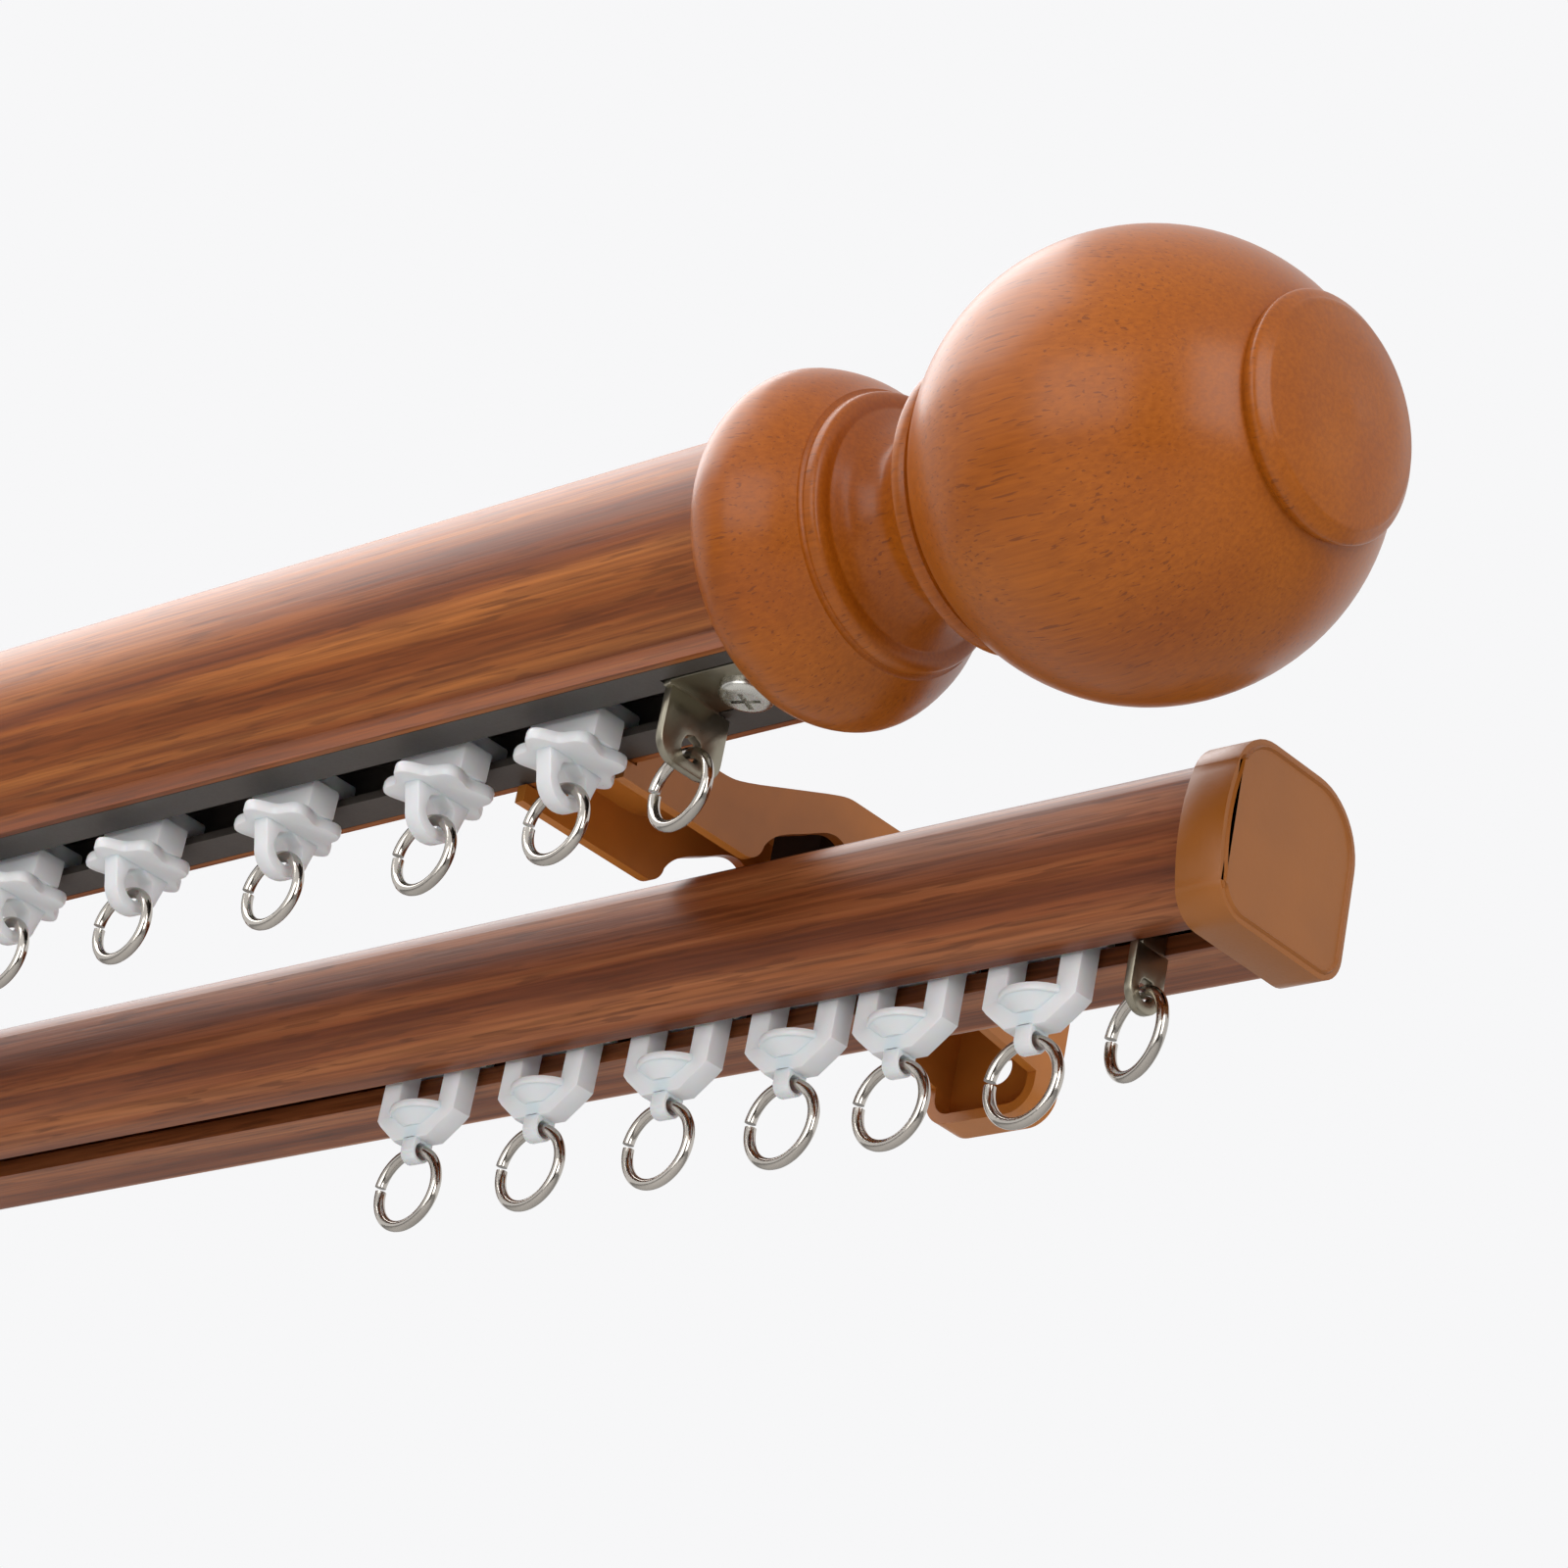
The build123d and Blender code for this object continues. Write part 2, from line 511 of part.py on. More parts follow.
REAR_EYE_FLOOR = REAR_FACE_Z - BAR_BOTTOM - 2 * STEM_EYE - 0.3


# Bracket: pressed sheet, an inverted channel arm with a lobe and an arch over the rear rail,
# a curved saddle behind the front rail, and a rounded open foot under its wall plate
def arm_top(start, drop):
    level = ARM_TOP_Z - drop
    low = ARM_TOP_Z - ARM_STEP - drop
    slope = CLIP_Y - CLIP_LENGTH / 2 - 0.1
    foot = REAR_SLOT_Y - REAR_FRONT - 10.5
    Line((0, level), (slope, level))
    Spline((slope, level), (slope - 3.5, level - 0.7), (foot + 4.5, low + 0.7), (foot, low),
           tangents=((-1, 0), (-1, 0)))
    Line((foot, low), (start, low))


def bracket(x):
    left = Plane((x - BRACKET_WIDTH / 2, 0, 0), x_dir=(0, 1, 0), z_dir=(1, 0, 0))
    wall = Plane((x, 0, 0), x_dir=(1, 0, 0), z_dir=(0, -1, 0))
    saddle_y = FRONT_Y + TUBE_RADIUS + RUN_GAP
    start = FRONT_Y + SKIRT_HALF + RUN_GAP
    toe_y = start - 1.9
    rail_top = REAR_FACE_Z + REAR_HEIGHT
    lobe_y = REAR_SLOT_Y - REAR_FRONT - 0.9
    arch_y = REAR_SLOT_Y + 4.0
    arch_z = rail_top + ARCH_RISE
    behind_y = REAR_SLOT_Y + REAR_BACK + 2.0
    foot_height = ARM_TOP_Z - FOOT_BOTTOM
    with BuildPart() as piece:
        with BuildSketch(left):
            with BuildLine():
                arm_top(start, 0)
                Polyline((start, ARM_TOP_Z - ARM_STEP), (start, TRACK_Z - RUN_GAP), (toe_y, TRACK_Z - RUN_GAP),
                         (toe_y, ARM_LOW_Z), (lobe_y - LOBE_CORNER, ARM_LOW_Z))
                ThreePointArc((lobe_y - LOBE_CORNER, ARM_LOW_Z), (lobe_y - 0.2, ARM_LOW_Z + 0.9),
                              (lobe_y + 0.7, ARM_LOW_Z + 2.8))
                Spline((lobe_y + 0.7, ARM_LOW_Z + 2.8), (arch_y - ARCH_RADIUS, arch_z - 2.2), (arch_y, arch_z),
                       (arch_y + ARCH_RADIUS, arch_z - 2.2), (behind_y, rail_top + 1.5),
                       tangents=((0.5, 1), (0.5, -1)))
                Spline((behind_y, rail_top + 1.5), (behind_y + 8, FOOT_BOTTOM + 10), (-FOOT_DEPTH, FOOT_BOTTOM + 6),
                       tangents=((0.5, -1), (1, -0.15)))
                Polyline((-FOOT_DEPTH, FOOT_BOTTOM + 6), (0, FOOT_BOTTOM + 6), (0, ARM_TOP_Z))
            make_face()
            with Locations((FRONT_Y, FRONT_Z)):
                Circle(TUBE_RADIUS + RUN_GAP, mode=Mode.SUBTRACT)
        extrude(amount=BRACKET_WIDTH)
        with BuildSketch(left.offset(SHEET)):
            with BuildLine():
                arm_top(FRONT_Y, SHEET)
                Polyline((FRONT_Y, ARM_TOP_Z - ARM_STEP - SHEET), (FRONT_Y, FOOT_BOTTOM - SHEET),
                         (0, FOOT_BOTTOM - SHEET), (0, ARM_TOP_Z - SHEET))
            make_face()
            with Locations((FRONT_Y, FRONT_Z)):
                Circle(TUBE_RADIUS + RUN_GAP + SHEET, mode=Mode.SUBTRACT)
        extrude(amount=BRACKET_WIDTH - 2 * SHEET, mode=Mode.SUBTRACT)
        with BuildSketch(left):
            with Locations((FRONT_Y, FRONT_Z)):
                Circle(TUBE_RADIUS + RUN_GAP + SHEET)
                Circle(TUBE_RADIUS + RUN_GAP, mode=Mode.SUBTRACT)
            with Locations((start, FRONT_Z - TUBE_RADIUS)):
                Rectangle(TUBE_RADIUS, TUBE_RADIUS + 7.5, align=(Align.MIN, Align.MIN),
                          mode=Mode.INTERSECT)
        extrude(amount=BRACKET_WIDTH)
        with BuildSketch(wall):
            with Locations((0, FOOT_BOTTOM + foot_height / 2)):
                RectangleRounded(BRACKET_WIDTH, foot_height, FOOT_CORNER)
                RectangleRounded(BRACKET_WIDTH - 2 * SHEET, foot_height - 2 * SHEET, FOOT_CORNER - SHEET,
                                 mode=Mode.SUBTRACT)
            with Locations((0, FOOT_BOTTOM)):
                Rectangle(BRACKET_WIDTH, 12, align=(Align.CENTER, Align.MIN), mode=Mode.INTERSECT)
        extrude(amount=FOOT_DEPTH)
        with BuildSketch(wall):
            with Locations((0, (PLATE_TOP + FOOT_BOTTOM) / 2)):
                RectangleRounded(BRACKET_WIDTH, PLATE_TOP - FOOT_BOTTOM, FOOT_CORNER)
        extrude(amount=PLATE_THICK)
        for z in (-HOLE_SPACING / 2, HOLE_SPACING / 2):
            with Locations(Location((x, 0, z), (90, 0, 0))):
                Cylinder(HOLE_RADIUS, 6 * PLATE_THICK, mode=Mode.SUBTRACT)
        # holes for the rail screws
        with Locations(Location((x, saddle_y, FRONT_Z), (90, 0, 0))):
            Cylinder(SCREW_RADIUS + 0.05, 6 * SHEET, mode=Mode.SUBTRACT)
        with Locations(Location((x, CLIP_Y, ARM_TOP_Z))):
            Cylinder(SCREW_RADIUS + 0.05, 6 * SHEET, mode=Mode.SUBTRACT)
            Cone(SCREW_RADIUS, SADDLE_SCREW_HEAD, SHEET, mode=Mode.SUBTRACT,
                 align=(Align.CENTER, Align.CENTER, Align.MAX))
    return piece


# Clip between the arm and the rounded back of the rear rail
def rear_clip(x):
    top = ARM_TOP_Z - SHEET
    height = top - REAR_FACE_Z - REAR_HEIGHT + REAR_BACK_TOP / 2
    with BuildPart() as piece:
        with Locations((x, CLIP_Y, top)):
            Box(CLIP_WIDTH, CLIP_LENGTH, height, align=(Align.CENTER, Align.CENTER, Align.MAX))
            Cylinder(SCREW_RADIUS + 0.05, 4 * height, mode=Mode.SUBTRACT)
        with BuildSketch(rear_plane(x - CLIP_WIDTH / 2)):
            rear_outline()
        extrude(amount=CLIP_WIDTH, mode=Mode.SUBTRACT)
    return piece


# Screws that hold the rails to the brackets, one from behind and one from above at each
with BuildPart() as front_rail_screws:
    for side in (-1, 1):
        back = FRONT_Y + TUBE_RADIUS + RUN_GAP + SHEET
        with BuildSketch(Plane((side * BRACKET_X, back, FRONT_Z), x_dir=(1, 0, 0), z_dir=(0, 1, 0))):
            Circle(SADDLE_SCREW_HEAD)
        extrude(amount=PAN_HEIGHT)
        with BuildSketch(Plane((side * BRACKET_X, back, FRONT_Z), x_dir=(1, 0, 0), z_dir=(0, 1, 0))):
            Circle(SCREW_RADIUS)
        extrude(amount=-SHEET - RUN_GAP - TUBE_WALL - 3)
front_rail_screws.part.label = "front_rail_screws"
export_step(front_rail_screws.part, "parts/front_rail_screws.step")

with BuildPart() as rear_rail_screws:
    for side in (-1, 1):
        with Locations((side * BRACKET_X, CLIP_Y, ARM_TOP_Z)):
            Cylinder(SCREW_RADIUS, ARM_TOP_Z - REAR_FACE_Z - REAR_HEIGHT + REAR_WALL + 3,
                     align=(Align.CENTER, Align.CENTER, Align.MAX))
            Cone(SCREW_RADIUS, SADDLE_SCREW_HEAD - 0.1, SHEET - 0.05,
                 align=(Align.CENTER, Align.CENTER, Align.MAX))
rear_rail_screws.part.label = "rear_rail_screws"
export_step(rear_rail_screws.part, "parts/rear_rail_screws.step")


# Pieces that come once at each end
for name, side in (("right", 1), ("left", -1)):
    pieces = {
        "finial_" + name: finial(side),
        "finial_plug_" + name: finial_plug(side),
        "finial_bolt_" + name: finial_bolt(side),
        "front_stop_" + name: front_stop(side),
        "front_stop_ring_" + name: wire_ring(
            side * FRONT_TAB_X, FRONT_Y, FRONT_STOP_EYE_FLOOR, FRONT_RING_RADIUS,
            side * FRONT_RING_TURN),
        "rear_cap_" + name: rear_cap(side),
        "rear_stop_" + name: rear_stop(side),
        "rear_stop_ring_" + name: wire_ring(
            side * (REAR_END - REAR_TAB_INSET), REAR_SLOT_Y, REAR_STOP_EYE_FLOOR, REAR_RING_RADIUS,
            side * REAR_RING_TURN),
        "bracket_" + name: bracket(side * BRACKET_X),
        "rear_clip_" + name: rear_clip(side * BRACKET_X),
    }
    for label, piece in pieces.items():
        piece.part.label = label
        export_step(piece.part, "parts/" + label + ".step")

# Runners with their rings, pushed together at the right end, the gaps as a hand left them
front_x = FRONT_END - 37.5
rear_x = REAR_END - 32.7
front_gaps = (24.4, 29.5, 31.0, 26.6, 27.0, 0)
rear_gaps = (22.1, 19.0, 22.3, 24.2, 24.2, 0)
for number, (front_gap, rear_gap) in enumerate(zip(front_gaps, rear_gaps), start=1):
    pieces = {
        "front_runner_": front_runner(front_x),
        "front_ring_": wire_ring(front_x, FRONT_Y, FRONT_EYE_FLOOR, FRONT_RING_RADIUS, 0),
        "rear_runner_": rear_runner(rear_x),
        "rear_ring_": wire_ring(rear_x, REAR_SLOT_Y, REAR_EYE_FLOOR, REAR_RING_RADIUS, 0),
    }
    for label, piece in pieces.items():
        piece.part.label = label + str(number)
        export_step(piece.part, "parts/" + label + str(number) + ".step")
    front_x -= front_gap
    rear_x -= rear_gap
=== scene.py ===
"""Double decorative curtain rail: the looks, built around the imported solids. Metres, +Z up."""

from math import asin, atan2, cos, degrees, radians, sin

import bmesh
import bpy
from mathutils import Matrix, Vector


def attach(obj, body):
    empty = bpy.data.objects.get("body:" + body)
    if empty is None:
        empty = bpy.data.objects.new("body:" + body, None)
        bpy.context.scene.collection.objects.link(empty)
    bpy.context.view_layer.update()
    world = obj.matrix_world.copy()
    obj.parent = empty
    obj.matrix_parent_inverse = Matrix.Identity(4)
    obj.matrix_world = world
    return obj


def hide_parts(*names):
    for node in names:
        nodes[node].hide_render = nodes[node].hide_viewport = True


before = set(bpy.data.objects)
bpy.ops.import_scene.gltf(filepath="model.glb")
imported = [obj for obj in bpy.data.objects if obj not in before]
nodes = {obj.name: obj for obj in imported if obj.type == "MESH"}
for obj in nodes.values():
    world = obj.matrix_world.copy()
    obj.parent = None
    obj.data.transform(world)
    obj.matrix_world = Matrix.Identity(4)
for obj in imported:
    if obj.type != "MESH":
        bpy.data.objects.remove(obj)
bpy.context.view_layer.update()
for flat_colour in list(bpy.data.materials):
    bpy.data.materials.remove(flat_colour)
MM = 0.001
FIXED = "rails_and_brackets"
SIDES = (("right", 1), ("left", -1))

# Front rail: a rolled steel tube of 35 mm, covered with a satin film printed as walnut.
# The print is streaks along the rail, and the film is pressed with the same grain.


def srgb(red, green, blue):
    """A colour written as 0 to 255, as Blender's linear colour."""
    values = [c / 255 for c in (red, green, blue)]
    linear = [v / 12.92 if v <= 0.04045 else ((v + 0.055) / 1.055) ** 2.4 for v in values]
    return (*linear, 1.0)


def add_node(tree, kind, settings=None, **inputs):
    """A shader node, its inputs set or linked by name, or by number as i0, i1 and so on."""
    node = tree.nodes.new(kind)
    for name, value in (settings or {}).items():
        setattr(node, name, value)
    for name, value in inputs.items():
        numbered = name[0] == "i" and name[1:].isdigit()
        socket = node.inputs[int(name[1:])] if numbered else node.inputs[name.replace("_", " ")]
        if isinstance(value, bpy.types.NodeSocket):
            tree.links.new(value, socket)
        else:
            socket.default_value = value
    return node


def math(tree, operation, first, second):
    """One sum on two values."""
    return add_node(tree, "ShaderNodeMath", {"operation": operation}, i0=first, i1=second).outputs[0]


def new_finish(name, **constants):
    """An empty material with one Principled shader, whose plain values are set on its own sockets."""
    material = bpy.data.materials.new(name)
    material.use_nodes = True
    tree = material.node_tree
    shader = tree.nodes["Principled BSDF"]
    for key, value in constants.items():
        shader.inputs[key.replace("_", " ")].default_value = value
    place = tree.nodes.new("ShaderNodeTexCoord")
    return material, tree, shader, place


def ramp(tree, value, stops):
    """A colour ramp with its stops as (position, colour)."""
    node = add_node(tree, "ShaderNodeValToRGB", i0=value)
    while len(node.color_ramp.elements) < len(stops):
        node.color_ramp.elements.new(0.5)
    for element, (position, colour) in zip(node.color_ramp.elements, stops):
        element.position = position
        element.color = colour
    return node.outputs[0]


def mixed(tree, mask, first, second, blend="MIX"):
    """Two colours mixed by a mask."""
    settings = {"data_type": "RGBA", "blend_type": blend}
    return add_node(tree, "ShaderNodeMix", settings, i0=mask, i6=first, i7=second).outputs[2]


def spread(tree, value, low, high, start=0.0, end=1.0):
    """A value spread from one range to another, held at its ends."""
    return add_node(tree, "ShaderNodeMapRange", i0=value, i1=start, i2=end, i3=low, i4=high).outputs[0]


GRAIN_SIZES = ("Band Scale", "Band Stretch", "Fibre Scale", "Fleck Scale", "Fleck Start")
FLECK_EDGE = 0.06


def make_grain_group():
    """Wood grain along X: broad bands, fine fibres and short dark flecks, each from 0 to 1."""
    group = bpy.data.node_groups.new("wood_grain", "ShaderNodeTree")
    group.interface.new_socket("Vector", in_out="INPUT", socket_type="NodeSocketVector")
    for label in GRAIN_SIZES:
        group.interface.new_socket(label, in_out="INPUT", socket_type="NodeSocketFloat")
    for label in ("Band", "Fibre", "Fleck"):
        group.interface.new_socket(label, in_out="OUTPUT", socket_type="NodeSocketFloat")
    given = group.nodes.new("NodeGroupInput").outputs
    out = group.nodes.new("NodeGroupOutput").inputs

    def streak_noise(scale, stretch, detail, rough):
        along = math(group, "MULTIPLY", scale, stretch)
        sizes = add_node(group, "ShaderNodeCombineXYZ", X=along, Y=scale, Z=scale).outputs[0]
        spot = add_node(group, "ShaderNodeVectorMath", {"operation": "MULTIPLY"},
                        i0=given["Vector"], i1=sizes).outputs[0]
        return add_node(group, "ShaderNodeTexNoise", Vector=spot, Scale=1.0, Detail=detail,
                        Roughness=rough, Distortion=0.3).outputs[0]

    band = streak_noise(given["Band Scale"], given["Band Stretch"], 3.0, 0.55)
    fibre = streak_noise(given["Fibre Scale"], 0.02, 2.0, 0.6)
    fleck = streak_noise(given["Fleck Scale"], 0.06, 1.0, 0.5)
    marks = add_node(group, "ShaderNodeMapRange", i0=fleck, i1=given["Fleck Start"],
                     i2=math(group, "ADD", given["Fleck Start"], FLECK_EDGE))
    for label, value in (("Band", band), ("Fibre", fibre), ("Fleck", marks.outputs[0])):
        group.links.new(value, out[label])
    return group


GRAIN = make_grain_group()


def add_grain(tree, place, band_scale, band_stretch, fibre_scale, fleck_scale, fleck_start):
    """The wood grain group in a material, with its sizes set."""
    grain = add_node(tree, "ShaderNodeGroup", {"node_tree": GRAIN}, Vector=place.outputs["Object"])
    sizes = (band_scale, band_stretch, fibre_scale, fleck_scale, fleck_start)
    for label, value in zip(GRAIN_SIZES, sizes):
        grain.inputs[label].default_value = value
    return grain.outputs


def set_gloss(tree, shader, fine, roughness, depth, height=0.0001):
    """Roughness and a pressed surface that both follow a fine pattern."""
    tree.links.new(spread(tree, fine, roughness - 0.06, roughness + 0.08), shader.inputs["Roughness"])
    bump = add_node(tree, "ShaderNodeBump", Strength=depth, Distance=height, Height=fine)
    tree.links.new(bump.outputs[0], shader.inputs["Normal"])


def film_finish(name, light, middle, dark, streak, roughness):
    """A printed wood film: bands from light to dark, fine dark streaks and a pressed grain."""
    material, tree, shader, place = new_finish(name, Specular_IOR_Level=0.3)
    grain = add_grain(tree, place, band_scale=240.0, band_stretch=0.02, fibre_scale=1700.0,
                      fleck_scale=1500.0, fleck_start=0.6)
    base = ramp(tree, grain["Band"], [(0.36, dark), (0.5, middle), (0.64, light)])
    fibres = ramp(tree, grain["Fibre"], [(0.36, srgb(165, 160, 155)), (0.64, srgb(255, 255, 255))])
    base = mixed(tree, 0.6, base, fibres, "MULTIPLY")
    base = mixed(tree, math(tree, "MULTIPLY", grain["Fleck"], 0.4), base, streak)
    tree.links.new(base, shader.inputs["Base Color"])
    set_gloss(tree, shader, grain["Fibre"], roughness, 0.25)
    return material


def dress(node, material):
    """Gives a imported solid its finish."""
    mesh = nodes[node].data
    mesh.materials.clear()
    mesh.materials.append(material)


front_film = film_finish("front_wood_film", srgb(182, 108, 50), srgb(150, 80, 32), srgb(120, 58, 20),
                         srgb(84, 40, 14), 0.42)
dress("front_rail", front_film)

# Front channel: dark grey coated steel, pressed into the foot of the tube, with the runners'
# slot along its face.


def plain_finish(name, colour, roughness, speckle=0.04, grain_scale=2500.0, **constants):
    """A coated or moulded surface: one colour with a faint cloud in it, and a fine texture."""
    material, tree, shader, place = new_finish(name, **constants)
    spot = place.outputs["Object"]
    cloud = add_node(tree, "ShaderNodeTexNoise", Vector=spot, Scale=90.0, Detail=3.0).outputs[0]
    darker = tuple(c * (1 - 2.5 * speckle) for c in colour[:3]) + (1.0,)
    lighter = tuple(min(c * (1 + 2.5 * speckle), 1.0) for c in colour[:3]) + (1.0,)
    tree.links.new(ramp(tree, cloud, [(0.35, darker), (0.65, lighter)]), shader.inputs["Base Color"])
    fine = add_node(tree, "ShaderNodeTexNoise", Vector=spot, Scale=grain_scale, Detail=2.0).outputs[0]
    set_gloss(tree, shader, fine, roughness, 0.3, 0.00003)
    return material


dress("front_channel", plain_finish("grey_channel", srgb(66, 60, 55), 0.42))

# Finials: turned beech with an orange-brown stain and satin lacquer, one piece each.
# The lathe leaves a collar, a bead, a cove with a lip, the ball and a low button.
FRONT_END, FRONT_Y, FRONT_Z = 296.0, -100.0, 10.0
FINIAL_FACE = FRONT_END - 3.4
BALL_CENTRE, BALL_RADIUS, BALL_TIP, BUTTON_RADIUS = 56.7, 28.6, 29.6, 15.2
LIP_RADIUS = 17.9
SPIN_STEPS = 112


def arc(across, up, radius, start, end, steps=8):
    """Points on an arc, its angles in degrees."""
    angles = [radians(start + (end - start) * step / steps) for step in range(steps + 1)]
    return [(across + radius * cos(a), up + radius * sin(a)) for a in angles]


def curve(points, steps=6):
    """Points on a smooth curve through the given ones."""
    ends = [points[0]] + list(points) + [points[-1]]
    made = []
    for before, first, second, after in zip(ends, ends[1:], ends[2:], ends[3:]):
        for step in range(steps):
            t = step / steps
            weights = (-t + 2 * t ** 2 - t ** 3, 2 - 5 * t ** 2 + 3 * t ** 3,
                       t + 4 * t ** 2 - 3 * t ** 3, t ** 3 - t ** 2)
            four = (before, first, second, after)
            made.append(tuple(sum(w * p[i] for w, p in zip(weights, four)) / 2 for i in (0, 1)))
    return made + [tuple(points[-1])]


def finish_piece(name, mesh, body, replaced, material, sharp=32):
    """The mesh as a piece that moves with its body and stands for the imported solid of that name."""
    bmesh.ops.remove_doubles(mesh, verts=mesh.verts, dist=0.000002)
    bmesh.ops.recalc_face_normals(mesh, faces=mesh.faces)
    for face in mesh.faces:
        face.smooth = True
    for edge in mesh.edges:
        if len(edge.link_faces) == 2 and edge.calc_face_angle() > radians(sharp):
            edge.smooth = False
    data = bpy.data.meshes.new(name)
    mesh.to_mesh(data)
    mesh.free()
    data.materials.append(material)
    piece = bpy.data.objects.new(name, data)
    bpy.context.scene.collection.objects.link(piece)
    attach(piece, body)
    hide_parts(replaced)
    return piece


beech, tree, shader, place = new_finish("turned_beech", Specular_IOR_Level=0.25,
                                        Coat_Weight=0.15, Coat_Roughness=0.2)
grain = add_grain(tree, place, band_scale=50.0, band_stretch=0.3, fibre_scale=1900.0,
                  fleck_scale=2900.0, fleck_start=0.635)
bands = [(0.3, srgb(158, 80, 10)), (0.5, srgb(166, 87, 13)), (0.7, srgb(174, 94, 17))]
base = ramp(tree, grain["Band"], bands)
fibres = ramp(tree, grain["Fibre"], [(0.35, srgb(205, 195, 185)), (0.65, srgb(255, 255, 255))])
base = mixed(tree, 0.45, base, fibres, "MULTIPLY")
facing = add_node(tree, "ShaderNodeSeparateXYZ", Vector=place.outputs["Normal"]).outputs["X"]
side_grain = spread(tree, math(tree, "ABSOLUTE", facing, 0.0), 0.6, 0.05, 0.5, 0.9)
base = mixed(tree, math(tree, "MULTIPLY", grain["Fleck"], side_grain), base, srgb(104, 50, 16))
tree.links.new(base, shader.inputs["Base Color"])
set_gloss(tree, shader, grain["Fibre"], 0.36, 0.12)

# The outline runs from the rail's face outward, as millimetres along the rail and from its axis.
tip_angle = degrees(asin(BUTTON_RADIUS / BALL_RADIUS))
tip = BALL_CENTRE + BALL_TIP * cos(radians(tip_angle))
ball_start = 180 - degrees(asin(LIP_RADIUS / BALL_RADIUS))
outline = [(0.0, 0.0), (0.0, 18.5)]
outline += curve([(0.3, 18.6), (2.4, 21.5), (7.4, 23.1), (12.8, 21.4), (17.0, 18.4)])
outline += [(17.1, 18.0), (17.4, 17.7)]
outline += curve([(17.6, 17.8), (18.9, 17.6), (19.5, 16.6), (19.6, 15.4)])
outline += curve([(19.7, 15.2), (21.4, 12.9), (24.6, 11.5), (28.6, 13.4), (32.0, 17.7)])
outline += [(32.3, 18.4), (32.8, 18.6), (33.7, 18.6), (34.2, 18.3)]
outline += arc(BALL_CENTRE, 0, BALL_RADIUS, ball_start, 90, 22)
outline += [(BALL_CENTRE + u * BALL_TIP, v * BALL_RADIUS) for u, v in arc(0, 0, 1, 89, tip_angle, 18)]
outline += [(tip + 0.25, 14.6), (tip + 0.6, 14.7)]
outline += curve([(tip + 0.8, 14.9), (tip + 2.0, 15.1), (tip + 3.1, 13.8)])
outline += curve([(tip + 3.3, 13.6), (tip + 4.5, 8.9), (tip + 5.2, 0.0)])
for name, side in SIDES:
    mesh = bmesh.new()
    points = [(side * (FINIAL_FACE + u), FRONT_Y, FRONT_Z + v) for u, v in outline]
    line = [mesh.verts.new(Vector(point) * MM) for point in points]
    edges = [mesh.edges.new(pair) for pair in zip(line, line[1:])]
    bmesh.ops.spin(mesh, geom=line + edges, cent=(0, FRONT_Y * MM, FRONT_Z * MM), axis=(1, 0, 0),
                   angle=radians(360), steps=SPIN_STEPS, use_merge=True)
    finish_piece(f"turned_finial_{name}", mesh, FIXED, f"finial_{name}", beech)

# Plugs and bolts inside the tube's ends, hidden by the finials.
black_plastic = plain_finish("black_plastic", srgb(34, 33, 32), 0.5)
zinc = plain_finish("zinc_steel", srgb(190, 190, 186), 0.35, Metallic=1.0)
for name, _ in SIDES:
    dress(f"finial_plug_{name}", black_plastic)
    dress(f"finial_bolt_{name}", zinc)

# End stops of the front rail: bent plated sheet, its foot in the notch of the channel and
# clamped by a pan-head screw, its rounded tab hanging below with an eye.
nickel = plain_finish("nickel_plate", srgb(150, 144, 128), 0.3, Metallic=1.0)
screw_zinc = plain_finish("screw_zinc", srgb(205, 203, 196), 0.25, Metallic=1.0)
TRACK_Z = -7.4
TAB_X = FRONT_END - 15.75
SHEET = 1.3

# How a flat shape is turned: its plane looks along the rail, to the room or up.
FACING_X = Matrix(((0, 0, 1), (1, 0, 0), (0, 1, 0)))
FACING_FRONT = Matrix(((1, 0, 0), (0, 0, -1), (0, 1, 0)))
FACING_UP = Matrix.Identity(3)


def plate(mesh, at, facing, outline, depth, soft, hole=None):
    """A flat shape in millimetres, drawn out to both sides of its plane, its edges rounded."""
    turn = Matrix.Translation(Vector(at) * MM) @ facing.to_4x4()

    def lay(points):
        return [mesh.verts.new(turn @ Vector((u * MM, v * MM, -depth * MM / 2))) for u, v in points]

    rim = lay(outline)
    if hole:
        u0, v0, radius = hole
        angles = [atan2(v - v0, u - u0) for u, v in outline]
        inner = lay([(u0 + radius * cos(a), v0 + radius * sin(a)) for a in angles])
        around = list(zip(rim, rim[1:] + rim[:1], inner[1:] + inner[:1], inner))
        faces = [mesh.faces.new(four) for four in around]
    else:
        faces = [mesh.faces.new(rim)]
    made = bmesh.ops.extrude_face_region(mesh, geom=faces)["geom"]
    moved = [v for v in made if isinstance(v, bmesh.types.BMVert)]
    bmesh.ops.translate(mesh, verts=moved, vec=facing @ Vector((0, 0, depth * MM)))
    ends = set(moved + rim)
    edges = [e for e in mesh.edges if ends.intersection(e.verts)]
    bends = [e for e in edges if len(e.link_faces) == 2 and abs(e.calc_face_angle()) > radians(50)]
    bmesh.ops.bevel(mesh, geom=bends, offset=soft * MM, offset_type="OFFSET", segments=2, profile=0.5,
                    affect="EDGES", clamp_overlap=True, material=-1)


def block(mesh, at, size, soft):
    """A rounded block, its middle and sizes in millimetres."""
    half, deep = size[0] / 2, size[1] / 2
    square = [(-half, -deep), (half, -deep), (half, deep), (-half, deep)]
    plate(mesh, at, FACING_UP, square, size[2], soft)


